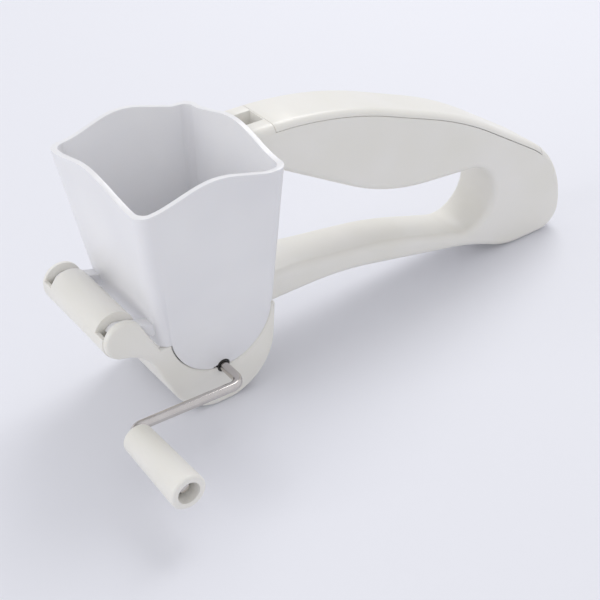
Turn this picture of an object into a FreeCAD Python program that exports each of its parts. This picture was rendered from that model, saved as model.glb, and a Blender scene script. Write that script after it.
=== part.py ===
import FreeCAD, Part
import Sketcher
import math
import os
import re

# Hand cranked herb mill, in millimetres.
# X runs from the hinge at the front to the grip at the back, Y runs along the crank axle with the
# crank on the -Y side, and Z is up. The origin is on the mid-plane, on the table under the axle.

Vector = FreeCAD.Vector

# Driving dimensions

sizes = {
    # clearances
    "moving_gap": 0.3,          # between pieces that move past each other
    "seat_gap": 0.05,           # between a piece and the seat it is pressed into
    "running_gap": 0.06,        # radial, between a turning piece and its bearing
    "sliding_gap": 0.2,         # round the spigot that the grip slides on
    "parting_gap": 0.25,        # visible line between the two grip mouldings
    # cradle, the trough that carries the rotor
    "body_width": 52.0,
    "wall": 2.2,
    "foot_clearance": 0.8,      # between the foot and the discs above it
    "trough_radius": 25.0,
    "foot_length": 7.7,
    "cradle_top": 38.0,
    "rear_wall_step": 1.2,
    "parting_x": 1.0,
    "parting_step": 0.4,
    "parting_drop": 0.2,
    "ear_root_angle": 203.0,
    "ear_rise": 17.0,
    "ear_step": 4.6,
    "outlet_length": 24.0,
    # hinge across the front
    "hinge_x": -41.0,
    "hinge_height": 49.0,
    "barrel_radius": 8.4,
    "neck_radius": 2.7,
    "slot_floor": 2.0,          # wall that closes the hook slots from below
    "knuckle_radius": 8.0,
    "hook_width": 5.0,
    "hook_side_gap": 0.5,       # between a hook and the side plate beside it
    "hook_wall": 1.8,
    "hook_mouth": 4.6,
    "hopper_swing": 110.0,      # degrees that the hopper opens, with its hooks clear of the slot floor
    # hopper, the funnel that holds the herbs
    "throat_corner": 4.0,
    "rim_height": 108.0,
    "rim_front": -36.0,
    "rim_rear": 29.0,
    "rim_width": 71.0,
    "rim_corner": 5.0,
    "rim_dip": 5.6,
    "hopper_wall": 2.0,
    "disc_side_gap": 1.0,       # between the discs and the opening in the skirt
    "tongue_height": 98.0,
    "tongue_length": 8.5,
    "tongue_width": 9.0,
    "tongue_thickness": 4.0,
    # rotor
    "disc_count": 7,
    "disc_radius": 15.0,
    "disc_thickness": 1.0,
    "tooth_count": 10,
    "tooth_depth": 3.4,
    "disc_stagger": 12.0,
    "spacer_radius": 6.0,
    "flange_radius": 5.6,
    "flange_thickness": 1.5,
    "bush_radius": 2.8,
    "comb_thickness": 1.2,
    "comb_side_gap": 0.6,
    "comb_groove": 0.8,
    "comb_drop": 2.4,
    # crank
    "rod_radius": 2.0,
    "rod_flat": 1.5,
    "rod_bend": 5.0,
    "crank_radius": 50.0,
    "crank_reach": 39.5,
    "crank_tilt": 2.7,
    "tail_length": 3.4,
    "clip_radius": 4.6,
    "clip_thickness": 0.9,
    "knob_length": 36.5,
    "knob_inner_radius": 6.1,
    "knob_outer_radius": 7.2,
    "knob_bore_radius": 4.4,
    "knob_bore_depth": 6.4,
    "knob_round": 1.2,
    "retainer_thickness": 0.8,
    "rod_tip": 2.0,
    # grip
    "grip_width": 25.0,
    "grip_round": 3.4,
    "grip_wall": 2.8,
    "arm_top": 106.4,
    "arm_front_thickness": 13.8,
    "crest_x": 66.5,
    "crest_fall": 0.5,
    "crest_bend": 173.0,
    "back_x": 137.2,
    "back_fall": 27.3,
    "back_bend": 188.0,
    "tail_x": 202.3,
    "tail_height": 37.4,
    "tail_bend": 46.0,
    "heel_bend": 12.0,
    "sole_front": 168.0,
    "sole_bend": 40.0,
    "belly_x": 145.0,
    "belly_height": 9.7,
    "belly_bend": 120.0,
    "bar_x": 70.0,
    "bar_bottom": 26.2,
    "bar_bend": 150.0,
    "bar_front_thickness": 13.4,
    "bar_top_x": 45.0,
    "bar_top_bend": 60.0,
    "bar_dip_x": 100.0,
    "bar_dip_height": 31.0,
    "bar_dip_bend": 200.0,
    "loop_x": 141.0,
    "loop_height": 34.5,
    "loop_radius": 16.0,
    "arm_under_x": 95.0,
    "arm_under_height": 54.6,
    "arm_under_bend": 100.0,
    "cover_thickness": 2.6,
    "cover_front": 38.5,
    "cover_tail": 16.3,         # from the end of the cover to the end of the grip
    "lip_depth": 3.0,
    "lip_gap": 0.1,
    "spigot_length": 18.0,
    "spigot_width": 15.0,
    "spigot_thickness": 6.0,
}

# Sizes that follow from the ones above

derived = {
    "inner_width": "body_width - 2 * wall",
    "axle_height": "disc_radius + wall + foot_clearance",
    "barrel_length": "body_width - 2 * (wall + hook_side_gap + hook_width + moving_gap)",
    "skirt_opening": "2 * (disc_radius + disc_side_gap)",
    "retainer_radius": "knob_bore_radius - 2 * moving_gap",
    "cover_rear": "tail_x - cover_tail",
}

# Expressions that several pieces share

TROUGH_HEIGHT = "(sqrt(trough_radius^2 - (foot_length / 2)^2))"
PARTING_RADIUS = "(trough_radius - wall + parting_step)"
PARTING_HEIGHT = "(axle_height - parting_drop + %s)" % PARTING_RADIUS
REAR_WALL = "(trough_radius + rear_wall_step)"
SKIRT_RADIUS = "(%s - moving_gap)" % PARTING_RADIUS
HOOK_RADIUS = "(neck_radius + running_gap + hook_wall)"
THROAT_HEIGHT = "(cradle_top + moving_gap)"
SKIRT_HALF = "(sqrt(%s^2 - (%s - %s)^2))" % (SKIRT_RADIUS, PARTING_HEIGHT, THROAT_HEIGHT)
MOUTH_HEIGHT = "(rim_height + 1)"
SPIGOT_HEIGHT = "(bar_bottom / 2 + cradle_top / 2)"
STACK_HALF = "(inner_width / 2 - flange_thickness - moving_gap)"
SPACER_LENGTH = "((2 * %s - disc_count * disc_thickness) / (disc_count + 1))" % STACK_HALF
DISC_PITCH = "(%s + disc_thickness)" % SPACER_LENGTH
KNOB_START = "(crank_reach + rod_bend + moving_gap)"
KNOB_END = "(%s + knob_length)" % KNOB_START
COVER_SEAT = "(cover_thickness + parting_gap)"
CAVITY_WIDTH = "(grip_width - 2 * grip_wall)"

doc = FreeCAD.newDocument("HerbMill")
sheet = doc.addObject("Spreadsheet::Sheet", "Sizes")
cells = {name: str(value) for name, value in sizes.items()}
cells.update({name: "=" + formula for name, formula in derived.items()})
for row, (name, value) in enumerate(cells.items(), start=1):
    sheet.set("A%d" % row, name)
    sheet.set("B%d" % row, value)
    sheet.setAlias("B%d" % row, name)
doc.recompute()


def size(text):
    """Value in millimetres of an expression made of the sheet's names."""
    return float(sheet.evalExpression(text))


def bound(text):
    """The same expression, as another object of the document writes it."""
    return re.sub("[a-z_]+", lambda word: ("Sizes." if word.group() in cells else "") + word.group(), text)


def bind(feature, path, text):
    feature.setExpression(path, bound(text))


# Sketch helpers

def newBody(label):
    body = doc.addObject("PartDesign::Body", label)
    body.Label = label
    return body


def originPart(body, role):
    return [feature for feature in body.Origin.OriginFeatures if feature.Role == role][0]


def newSketch(body, name, role, lift=None):
    """A sketch on one of the body's origin planes, lifted along the plane's normal."""
    sketch = body.newObject("Sketcher::SketchObject", name)
    sketch.AttachmentSupport = [(originPart(body, role), "")]
    sketch.MapMode = "FlatFace"
    if lift:
        bind(sketch, "AttachmentOffset.Base.z", lift)
    return sketch


def tie(sketch, kind, places, text):
    """A dimension on sketch geometry that follows an expression of the sheet."""
    index = sketch.addConstraint(Sketcher.Constraint(kind, *places, size(text)))
    bind(sketch, "Constraints[%d]" % index, text)


def tiePoint(sketch, line, end, across, up):
    tie(sketch, "DistanceX", (-1, 1, line, end), across)
    tie(sketch, "DistanceY", (-1, 1, line, end), up)


def addCircle(sketch, across, up, radius):
    centre = Vector(size(across), size(up), 0)
    circle = sketch.addGeometry(Part.Circle(centre, Vector(0, 0, 1), size(radius)))
    tiePoint(sketch, circle, 3, across, up)
    tie(sketch, "Radius", (circle,), radius)


def addOutline(sketch, corners):
    """A closed outline of straight edges through corners given as pairs of expressions."""
    points = [Vector(size(across), size(up), 0) for across, up in corners]
    first = sketch.GeometryCount
    count = len(points)
    for i in range(count):
        sketch.addGeometry(Part.LineSegment(points[i], points[(i + 1) % count]))
    for i in range(count):
        after = first + (i + 1) % count
        sketch.addConstraint(Sketcher.Constraint("Coincident", first + i, 2, after, 1))
        tiePoint(sketch, first + i, 1, *corners[i])


def addRectangle(sketch, left, right, low, high):
    addOutline(sketch, [(left, low), (right, low), (right, high), (left, high)])


def addRoundedRectangle(sketch, left, right, low, high, corner):
    """Four sides and four quarter rounds, with the rounds' centres tied to the sheet."""
    x0, x1, y0, y1, r = size(left), size(right), size(low), size(high), size(corner)
    centres = [(left, low, 1, 1, 180), (right, low, -1, 1, 270),
               (right, high, -1, -1, 0), (left, high, 1, -1, 90)]
    rounds = []
    for across, up, inX, inY, start in centres:
        centre = Vector(size(across) + inX * r, size(up) + inY * r, 0)
        circle = Part.Circle(centre, Vector(0, 0, 1), r)
        arc = Part.ArcOfCircle(circle, math.radians(start), math.radians(start + 90))
        rounds.append(sketch.addGeometry(arc))
    sides = [((x0 + r, y0), (x1 - r, y0)), ((x1, y0 + r), (x1, y1 - r)),
             ((x1 - r, y1), (x0 + r, y1)), ((x0, y1 - r), (x0, y0 + r))]
    lines = [sketch.addGeometry(Part.LineSegment(Vector(*a, 0), Vector(*b, 0))) for a, b in sides]
    for i in range(4):
        sketch.addConstraint(Sketcher.Constraint("Tangent", lines[i], 1, rounds[i], 2))
        sketch.addConstraint(Sketcher.Constraint("Tangent", lines[i], 2, rounds[(i + 1) % 4], 1))
    for (across, up, inX, inY, start), arc in zip(centres, rounds):
        tiePoint(sketch, arc, 3, "(%s) + (%s) * %d" % (across, corner, inX),
                 "(%s) + (%s) * %d" % (up, corner, inY))
        tie(sketch, "Radius", (arc,), corner)


def addCurves(sketch, curves):
    """Geometry worked out from the sheet's sizes, joined where its ends meet."""
    placed = [sketch.addGeometry(curve) for curve in curves]
    ends = [(line, end) for line in placed for end in (1, 2)]
    for i, (line, end) in enumerate(ends):
        for other, otherEnd in ends[i + 1:]:
            apart = sketch.getPoint(line, end).distanceToPoint(sketch.getPoint(other, otherEnd))
            if other != line and apart < 1e-4:
                sketch.addConstraint(Sketcher.Constraint("Coincident", line, end, other, otherEnd))


def addPolygon(sketch, points):
    addCurves(sketch, [Part.LineSegment(a, b) for a, b in zip(points, points[1:] + points[:1])])


def addKeyedHole(sketch, clearance):
    """A round hole with two flats, above and below, that a flatted rod drives."""
    r, flat = size("rod_radius + " + clearance), size("rod_flat + " + clearance)
    reach = math.sqrt(r * r - flat * flat)
    addCurves(sketch, [
        Part.LineSegment(Vector(reach, flat, 0), Vector(-reach, flat, 0)),
        Part.Arc(Vector(-reach, flat, 0), Vector(-r, 0, 0), Vector(-reach, -flat, 0)),
        Part.LineSegment(Vector(-reach, -flat, 0), Vector(reach, -flat, 0)),
        Part.Arc(Vector(reach, -flat, 0), Vector(r, 0, 0), Vector(reach, flat, 0)),
    ])


# Feature helpers

def pad(body, sketch, length, midplane=True, reversed=False):
    feature = body.newObject("PartDesign::Pad", sketch.Name + "Pad")
    feature.Profile = sketch
    feature.SideType = "Symmetric" if midplane else "One side"
    feature.Reversed = reversed
    bind(feature, "Length", length)
    doc.recompute()
    return feature


def pocket(body, sketch, length, midplane=True, reversed=False):
    """A pocket that has to take material away."""
    before = body.Shape.Volume
    feature = body.newObject("PartDesign::Pocket", sketch.Name + "Pocket")
    feature.Profile = sketch
    feature.SideType = "Symmetric" if midplane else "One side"
    feature.Reversed = reversed
    bind(feature, "Length", length)
    doc.recompute()
    if not body.Shape.Volume < before - 1e-3:
        raise RuntimeError("%s cuts nothing" % feature.Name)
    return feature


def roundEdges(body, name, radius, wanted):
    """A fillet on the edges of the body's last feature that pass the test."""
    base = body.Tip
    edges = ["Edge%d" % (i + 1) for i, edge in enumerate(base.Shape.Edges) if wanted(edge)]
    feature = body.newObject("PartDesign::Fillet", name)
    feature.Base = (base, edges)
    bind(feature, "Radius", radius)
    doc.recompute()
    return feature


def middle(edge):
    """Half-way point of an edge, or of a plain curve."""
    at = (edge.FirstParameter + edge.LastParameter) / 2
    return edge.valueAt(at) if isinstance(edge, Part.Edge) else edge.value(at)


def place(body, x="0", y="0", height="0", turn="0"):
    """Puts a body that is drawn about its own axis where it is mounted, turned about Y."""
    body.Placement = FreeCAD.Placement(Vector(0, 0, 0), FreeCAD.Rotation(Vector(0, 1, 0), size(turn)))
    bind(body, "Placement.Base.x", x)
    bind(body, "Placement.Base.y", y)
    bind(body, "Placement.Base.z", height)
    doc.recompute()


# Plane geometry helpers

def onCircle(centre, radius, angle):
    turn = math.radians(angle)
    return centre + Vector(radius * math.cos(turn), radius * math.sin(turn), 0)


def tangentPoint(point, centre, radius, side):
    """Where a line from a point outside touches a circle, turned left (1) or right (-1)."""
    away = point - centre
    turn = math.atan2(away.y, away.x) + side * math.acos(radius / away.Length)
    return onCircle(centre, radius, math.degrees(turn))


def arcOnto(start, direction, centre, radius):
    """An arc that leaves a point along a direction, turns left and runs smoothly onto a circle."""
    normal = Vector(-direction.y, direction.x, 0).normalize()
    away = start - centre
    bend = (away.dot(away) - radius * radius) / (2 * (radius - away.dot(normal)))
    bendCentre = start + normal * bend
    touch = centre + (bendCentre - centre).normalize() * radius
    half = ((start - bendCentre).normalize() + (touch - bendCentre).normalize()).normalize()
    return Part.Arc(start, bendCentre + half * bend, touch), touch


def turnAt(before, corner, after):
    return math.pi - (before - corner).getAngle(after - corner)


def softRun(corners):
    """Lines through corners, each given with the radius of its bend, joined by tangent arcs."""
    points = [corner[0] for corner in corners]
    count = len(points)
    trims = [0.0] * count
    for i in range(1, count - 1):
        trims[i] = corners[i][1] * math.tan(turnAt(*points[i - 1:i + 2]) / 2)
    share = [1.0] * count
    for i in range(count - 1):
        wanted = trims[i] + trims[i + 1]
        room = 0.99 * points[i].distanceToPoint(points[i + 1])
        if wanted > room:
            share[i] = min(share[i], room / wanted)
            share[i + 1] = min(share[i + 1], room / wanted)
    curves = []
    last = points[0]
    for i in range(1, count - 1):
        trim = trims[i] * share[i]
        if trim > 1e-3:
            back = (points[i - 1] - points[i]).normalize()
            ahead = (points[i + 1] - points[i]).normalize()
            radius = trim / math.tan(turnAt(*points[i - 1:i + 2]) / 2)
            inwards = (back + ahead).normalize()
            summit = points[i] + inwards * (math.hypot(radius, trim) - radius)
            curves.append(Part.LineSegment(last, points[i] + back * trim))
            curves.append(Part.Arc(points[i] + back * trim, summit, points[i] + ahead * trim))
            last = points[i] + ahead * trim
        else:
            curves.append(Part.LineSegment(last, points[i]))
            last = points[i]
    curves.append(Part.LineSegment(last, points[-1]))
    return curves


def offsetRun(corners, distance):
    """The same run moved to the right of its direction, with its bends kept concentric."""
    moved = []
    for i, (point, bend) in enumerate(corners):
        before = corners[max(i - 1, 0)][0]
        after = corners[min(i + 1, len(corners) - 1)][0]
        first = (point - before) if i > 0 else (after - point)
        second = (after - point) if i < len(corners) - 1 else (point - before)
        a = Vector(first.y, -first.x, 0).normalize()
        b = Vector(second.y, -second.x, 0).normalize()
        normal = (a + b).normalize()
        turning = first.cross(second).z
        radius = bend + (distance if turning > 0 else -distance) if bend else 0
        moved.append((point + normal * (distance / normal.dot(a)), radius))
    return moved


def cutRun(curves, left, right):
    """The stretch of a run, whose X grows all along, that lies between two values of X."""
    kept = []
    for curve in curves:
        low, high = curve.FirstParameter, curve.LastParameter
        ends = sorted((low, high), key=lambda at: curve.value(at).x)
        if curve.value(ends[1]).x <= left + 1e-6 or curve.value(ends[0]).x >= right - 1e-6:
            continue
        found = []
        for target in (max(left, curve.value(ends[0]).x), min(right, curve.value(ends[1]).x)):
            a, b = ends
            for step in range(60):
                mid = (a + b) / 2
                if curve.value(mid).x < target:
                    a = mid
                else:
                    b = mid
            found.append(b)
        start, end = curve.value(found[0]), curve.value(found[1])
        if isinstance(curve, Part.LineSegment):
            kept.append(Part.LineSegment(start, end))
        else:
            kept.append(Part.Arc(start, curve.value((found[0] + found[1]) / 2), end))
    return kept


def runEnds(curves):
    """First and last point of a run whose X grows."""
    ends = [curve.value(at) for curve in curves for at in (curve.FirstParameter, curve.LastParameter)]
    return min(ends, key=lambda point: point.x), max(ends, key=lambda point: point.x)


# Cradle

def rearFace():
    """Top and foot of the cradle's straight rear face, where it runs onto the round trough."""
    top = Vector(size(REAR_WALL), size("cradle_top"), 0)
    return top, tangentPoint(top, Vector(0, size(TROUGH_HEIGHT), 0), size("trough_radius"), -1)


def buildCradle():
    """Trough with an outlet on each side of its foot, the hinge barrel in front, the grip's spigot behind."""
    body = newBody("cradle")
    sketch = newSketch(body, "CradleSide", "XZ_Plane")
    r, height = size("trough_radius"), size(TROUGH_HEIGHT)
    trough = Vector(0, height, 0)
    hinge = Vector(size("hinge_x"), size("hinge_height"), 0)
    knuckle = size("knuckle_radius")
    foot = Vector(size("foot_length / 2"), 0, 0)
    rearTop, rearTouch = rearFace()
    shoulder = Vector(size("parting_x - " + PARTING_RADIUS), size("cradle_top"), 0)
    earRoot = onCircle(trough, r, size("ear_root_angle"))
    earRise = Vector(earRoot.y - height, -earRoot.x, 0).normalize()
    earNeck = earRoot + earRise * size("ear_rise")
    earCurve, earTouch = arcOnto(earNeck, earRise, hinge, knuckle)
    earTop = shoulder + Vector(-size("ear_step"), 0, 0)
    knuckleTop = tangentPoint(earTop, hinge, knuckle, 1)
    addCurves(sketch, [
        Part.LineSegment(rearTop, rearTouch),
        Part.Arc(rearTouch, onCircle(trough, r, -40), foot),
        Part.LineSegment(foot, -foot),
        Part.Arc(-foot, onCircle(trough, r, 235), earRoot),
        Part.LineSegment(earRoot, earNeck),
        earCurve,
        Part.Arc(earTouch, onCircle(hinge, knuckle, 150), knuckleTop),
        Part.LineSegment(knuckleTop, earTop),
        Part.LineSegment(earTop, shoulder),
        Part.LineSegment(shoulder, rearTop),
    ])
    pad(body, sketch, "body_width")

    parting = newSketch(body, "PartingCut", "XZ_Plane")
    addCircle(parting, "parting_x", PARTING_HEIGHT, PARTING_RADIUS)
    pocket(body, parting, "body_width + 2 * wall")

    hollow = newSketch(body, "TroughHollow", "XZ_Plane")
    inner = size("trough_radius - wall")
    top = size("hinge_height + 3 * knuckle_radius")
    addCurves(hollow, [
        Part.Arc(Vector(-inner, height, 0), Vector(0, height - inner, 0), Vector(inner, height, 0)),
        Part.LineSegment(Vector(inner, height, 0), Vector(inner, top, 0)),
        Part.LineSegment(Vector(inner, top, 0), Vector(-inner, top, 0)),
        Part.LineSegment(Vector(-inner, top, 0), Vector(-inner, height, 0)),
    ])
    pocket(body, hollow, "inner_width")

    front = newSketch(body, "BetweenEars", "XZ_Plane")
    addRectangle(front, "hinge_x - 3 * knuckle_radius", "-trough_radius",
                 "-wall", "hinge_height + 3 * knuckle_radius")
    pocket(body, front, "inner_width")

    outlet = newSketch(body, "Outlets", "XZ_Plane")
    addRectangle(outlet, "-outlet_length / 2", "-foot_length / 2", "-wall", "axle_height / 2")
    addRectangle(outlet, "foot_length / 2", "outlet_length / 2", "-wall", "axle_height / 2")
    pocket(body, outlet, "inner_width")

    groove = newSketch(body, "CombGrooves", "XZ_Plane")
    addRectangle(groove, "-" + combReach("0"), combReach("0"),
                 "axle_height - comb_drop - comb_thickness - seat_gap",
                 "axle_height - comb_drop + seat_gap")
    pocket(body, groove, "inner_width")

    barrel = newSketch(body, "Barrel", "XZ_Plane")
    addCircle(barrel, "hinge_x", "hinge_height", "barrel_radius")
    pad(body, barrel, "barrel_length")
    necks = newSketch(body, "Necks", "XZ_Plane")
    addCircle(necks, "hinge_x", "hinge_height", "neck_radius")
    pad(body, necks, "body_width - wall")
    floor = newSketch(body, "SlotFloors", "XZ_Plane")
    addCurves(floor, slotFloor(hinge))
    pad(body, floor, "inner_width")

    bearing = newSketch(body, "BearingNotches", "XZ_Plane")
    addCircle(bearing, "0", "axle_height", "bush_radius + seat_gap")
    pocket(body, bearing, "body_width + 2 * wall")

    spigot = newSketch(body, "Spigot", "XZ_Plane")
    addRectangle(spigot, "%s - wall / 2" % REAR_WALL, "%s + spigot_length" % REAR_WALL,
                 "%s - spigot_thickness / 2" % SPIGOT_HEIGHT, "%s + spigot_thickness / 2" % SPIGOT_HEIGHT)
    pad(body, spigot, "spigot_width")
    return body


def slotFloor(hinge):
    """Ring sector under the hinge that the hooks' flat edges leave free over the hopper's swing."""
    outer, inner = size("barrel_radius"), size("barrel_radius - slot_floor")
    spare = math.degrees(math.acos(size("%s + moving_gap" % HOOK_RADIUS) / inner))
    start, end = 90 + size("hopper_swing") - spare, 270 + spare
    between = (start + end) / 2
    return [
        Part.Arc(onCircle(hinge, outer, start), onCircle(hinge, outer, between), onCircle(hinge, outer, end)),
        Part.LineSegment(onCircle(hinge, outer, end), onCircle(hinge, inner, end)),
        Part.Arc(onCircle(hinge, inner, end), onCircle(hinge, inner, between), onCircle(hinge, inner, start)),
        Part.LineSegment(onCircle(hinge, inner, start), onCircle(hinge, outer, start)),
    ]


def combReach(clearance):
    """How far out a comb's edge lies, in the groove of the trough's wall."""
    middleDrop = "(%s - axle_height + comb_drop)" % TROUGH_HEIGHT
    return "(sqrt((trough_radius - wall)^2 - %s^2) + comb_groove - %s)" % (middleDrop, clearance)


# Hopper

def wave(beyond, low, high, level, dip):
    """A rim line that is low and level at both corners and crests between them, closed well above."""
    top = level + 3 * dip
    span = high - low
    points = [Vector(low + span * i / 8, level - dip * (0.5 + 0.5 * math.cos(math.pi * i / 4)), 0)
              for i in range(9)]
    curve = Part.BSplineCurve()
    curve.interpolate(Points=points, InitialTangent=Vector(1, 0, 0), FinalTangent=Vector(1, 0, 0))
    left, right = points[0] - Vector(beyond, 0, 0), points[-1] + Vector(beyond, 0, 0)
    return [
        Part.LineSegment(left, points[0]),
        curve,
        Part.LineSegment(points[-1], right),
        Part.LineSegment(right, Vector(right.x, top, 0)),
        Part.LineSegment(Vector(right.x, top, 0), Vector(left.x, top, 0)),
        Part.LineSegment(Vector(left.x, top, 0), left),
    ]


def throatSection(body, name, left, right, inset):
    sketch = newSketch(body, name, "XY_Plane", THROAT_HEIGHT)
    addRoundedRectangle(sketch, left, right, "-body_width / 2 + %s" % inset, "body_width / 2 - %s" % inset,
                        "throat_corner - %s / 2" % inset)
    return sketch


def mouthSection(body, name, inset):
    sketch = newSketch(body, name, "XY_Plane", MOUTH_HEIGHT)
    addRoundedRectangle(sketch, "rim_front + %s" % inset, "rim_rear - %s" % inset,
                        "-rim_width / 2 + %s" % inset, "rim_width / 2 - %s" % inset,
                        "rim_corner - %s / 2" % inset)
    return sketch


def loft(body, kind, name, throat, mouth):
    feature = body.newObject(kind, name)
    feature.Profile = throat
    feature.Sections = [mouth]
    feature.Ruled = True
    doc.recompute()


def wallX(front, height):
    """X of the hopper's outer front or rear wall at a height."""
    low = size("-" + REAR_WALL if front else REAR_WALL)
    high = size("rim_front" if front else "rim_rear")
    base = size(THROAT_HEIGHT)
    return low + (high - low) * (height - base) / (size(MOUTH_HEIGHT) - base)


def buildHopper():
    """Funnel with a waved rim, a round skirt that nests in the cradle, hinge hooks and a tongue."""
    body = newBody("hopper")
    loft(body, "PartDesign::AdditiveLoft", "FunnelOuter",
         throatSection(body, "ThroatOuter", "-" + REAR_WALL, REAR_WALL, "0"),
         mouthSection(body, "MouthOuter", "0"))

    skirt = newSketch(body, "Skirt", "XZ_Plane")
    cx, cz, r = size("parting_x"), size(PARTING_HEIGHT), size(SKIRT_RADIUS)
    join, reach = size(THROAT_HEIGHT), size(SKIRT_HALF)
    addCurves(skirt, [
        Part.Arc(Vector(cx - reach, join, 0), Vector(cx, cz - r, 0), Vector(cx + reach, join, 0)),
        Part.LineSegment(Vector(cx + reach, join, 0), Vector(cx - reach, join, 0)),
    ])
    pad(body, skirt, "body_width")

    loft(body, "PartDesign::SubtractiveLoft", "FunnelInner",
         throatSection(body, "ThroatInner", "parting_x - %s + wall" % SKIRT_HALF,
                       "parting_x + %s - wall" % SKIRT_HALF, "wall"),
         mouthSection(body, "MouthInner", "hopper_wall"))

    chamber = newSketch(body, "Chamber", "XZ_Plane")
    ri = size("%s - wall" % SKIRT_RADIUS)
    half = size("%s - wall" % SKIRT_HALF)
    sag = cz - math.sqrt(ri * ri - half * half)
    top = join + size("5 * wall")
    addCurves(chamber, [
        Part.Arc(Vector(cx - half, sag, 0), Vector(cx, cz - ri, 0), Vector(cx + half, sag, 0)),
        Part.LineSegment(Vector(cx + half, sag, 0), Vector(cx + half, top, 0)),
        Part.LineSegment(Vector(cx + half, top, 0), Vector(cx - half, top, 0)),
        Part.LineSegment(Vector(cx - half, top, 0), Vector(cx - half, sag, 0)),
    ])
    pocket(body, chamber, "inner_width")

    opening = newSketch(body, "SkirtOpening", "XZ_Plane")
    addRectangle(opening, "-skirt_opening / 2", "skirt_opening / 2",
                 "0", "%s - skirt_opening / 3" % PARTING_HEIGHT)
    pocket(body, opening, "inner_width")

    notch = newSketch(body, "BushNotch", "XZ_Plane")
    addCircle(notch, "0", "axle_height", "bush_radius + moving_gap")
    pocket(body, notch, "body_width + 2 * wall")
    relief = newSketch(body, "BushRelief", "XZ_Plane")
    addRectangle(relief, "-bush_radius - 6 * moving_gap", "0", "0", "axle_height + bush_radius / 2")
    pocket(body, relief, "body_width + 2 * wall")

    level, dip, beyond = size("rim_height"), size("rim_dip"), size("rim_corner + wall")
    sideWave = wave(beyond, size("rim_front + rim_corner"), size("rim_rear - rim_corner"), level, dip)
    for name, sign in (("RimNear", 1), ("RimFar", -1)):
        rim = newSketch(body, name, "XZ_Plane", "%d * (rim_width / 2 - rim_corner)" % sign)
        addCurves(rim, sideWave)
        pocket(body, rim, "rim_corner + wall", midplane=False, reversed=sign > 0)
    endReach = size("rim_width / 2 - rim_corner")
    endWave = wave(beyond, -endReach, endReach, level, dip)
    for name, edge, sign in (("RimFront", "rim_front", 1), ("RimRear", "rim_rear", -1)):
        rim = newSketch(body, name, "YZ_Plane", "%s + %d * rim_corner" % (edge, sign))
        addCurves(rim, endWave)
        pocket(body, rim, "rim_corner + wall", midplane=False, reversed=sign < 0)

    addHooks(body)
    tongue = newSketch(body, "Tongue", "XZ_Plane")
    addRectangle(tongue, "rim_rear - hopper_wall", "rim_rear + tongue_length",
                 "tongue_height - tongue_thickness", "tongue_height")
    pad(body, tongue, "tongue_width")
    return body


def addHooks(body):
    """Two C-shaped hooks on arms that thin towards the front wall, for the necks of the hinge barrel."""
    hx, hz = size("hinge_x"), size("hinge_height")
    r = size(HOOK_RADIUS)
    inside = size("wall") / 2
    low, high = hz - r, hz + r
    wallHigh = Vector(wallX(True, hz) + inside, hz, 0)
    wallLow = Vector(wallX(True, low) + inside, low, 0)
    for name, side in (("Near", 1), ("Far", -1)):
        lift = "%d * (barrel_length / 2 + moving_gap)" % side
        hook = newSketch(body, "Hook" + name, "XZ_Plane", lift)
        addCurves(hook, [
            Part.Arc(Vector(hx, low, 0), Vector(hx - r, hz, 0), Vector(hx, high, 0)),
            Part.LineSegment(Vector(hx, high, 0), wallHigh),
            Part.LineSegment(wallHigh, wallLow),
            Part.LineSegment(wallLow, Vector(hx, low, 0)),
        ])
        pad(body, hook, "hook_width", midplane=False, reversed=side < 0)
        bore = newSketch(body, "HookBore" + name, "XZ_Plane", lift)
        addCircle(bore, "hinge_x", "hinge_height", "neck_radius + running_gap")
        pocket(body, bore, "hook_width", midplane=False, reversed=side > 0)
        mouth = newSketch(body, "HookMouth" + name, "XZ_Plane", lift)
        addRectangle(mouth, "hinge_x - 2 * barrel_radius", "hinge_x",
                     "hinge_height - hook_mouth / 2", "hinge_height + hook_mouth / 2")
        pocket(body, mouth, "hook_width", midplane=False, reversed=side > 0)


# Rotor

def buildBush(label, side):
    """Flanged bearing that drops into the half-round seats of one side plate."""
    body = newBody(label)
    sleeve = newSketch(body, label + "Sleeve", "XZ_Plane", "%d * inner_width / 2" % side)
    addCircle(sleeve, "0", "0", "bush_radius")
    addCircle(sleeve, "0", "0", "rod_radius + running_gap")
    pad(body, sleeve, "wall", midplane=False, reversed=side < 0)
    flange = newSketch(body, label + "Flange", "XZ_Plane", "%d * inner_width / 2" % side)
    addCircle(flange, "0", "0", "flange_radius")
    addCircle(flange, "0", "0", "rod_radius + running_gap")
    pad(body, flange, "flange_thickness", midplane=False, reversed=side > 0)
    place(body, height="axle_height")
    return body


def buildComb(label, side):
    """Slotted plate beside the rotor, whose outer edge sits in the trough's groove."""
    body = newBody(label)
    plate = newSketch(body, label + "Plate", "XY_Plane", "-comb_drop - comb_thickness")
    inner = "%d * (spacer_radius + comb_side_gap)" % side
    outer = "%d * %s" % (side, combReach("seat_gap"))
    left, right = (inner, outer) if side > 0 else (outer, inner)
    addRectangle(plate, left, right, "-inner_width / 2 + seat_gap", "inner_width / 2 - seat_gap")
    pad(body, plate, "comb_thickness", midplane=False)
    slot = newSketch(body, label + "Slot", "XY_Plane", "-comb_drop - comb_thickness")
    reach = "%d * (disc_radius + comb_side_gap)" % side
    centre = "-%s * (disc_count - 1) / 2" % DISC_PITCH
    half = "(disc_thickness / 2 + comb_side_gap)"
    left, right = ("0", reach) if side > 0 else (reach, "0")
    addRectangle(slot, left, right, "%s - %s" % (centre, half), "%s + %s" % (centre, half))
    first = pocket(body, slot, "comb_thickness", midplane=False, reversed=True)
    row = body.newObject("PartDesign::LinearPattern", label + "Slots")
    row.Originals = [first]
    row.Direction = (slot, ["V_Axis"])
    bind(row, "Length", "%s * (disc_count - 1)" % DISC_PITCH)
    bind(row, "Occurrences", "disc_count")
    body.Tip = row
    place(body, height="axle_height")
    return body


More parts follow.
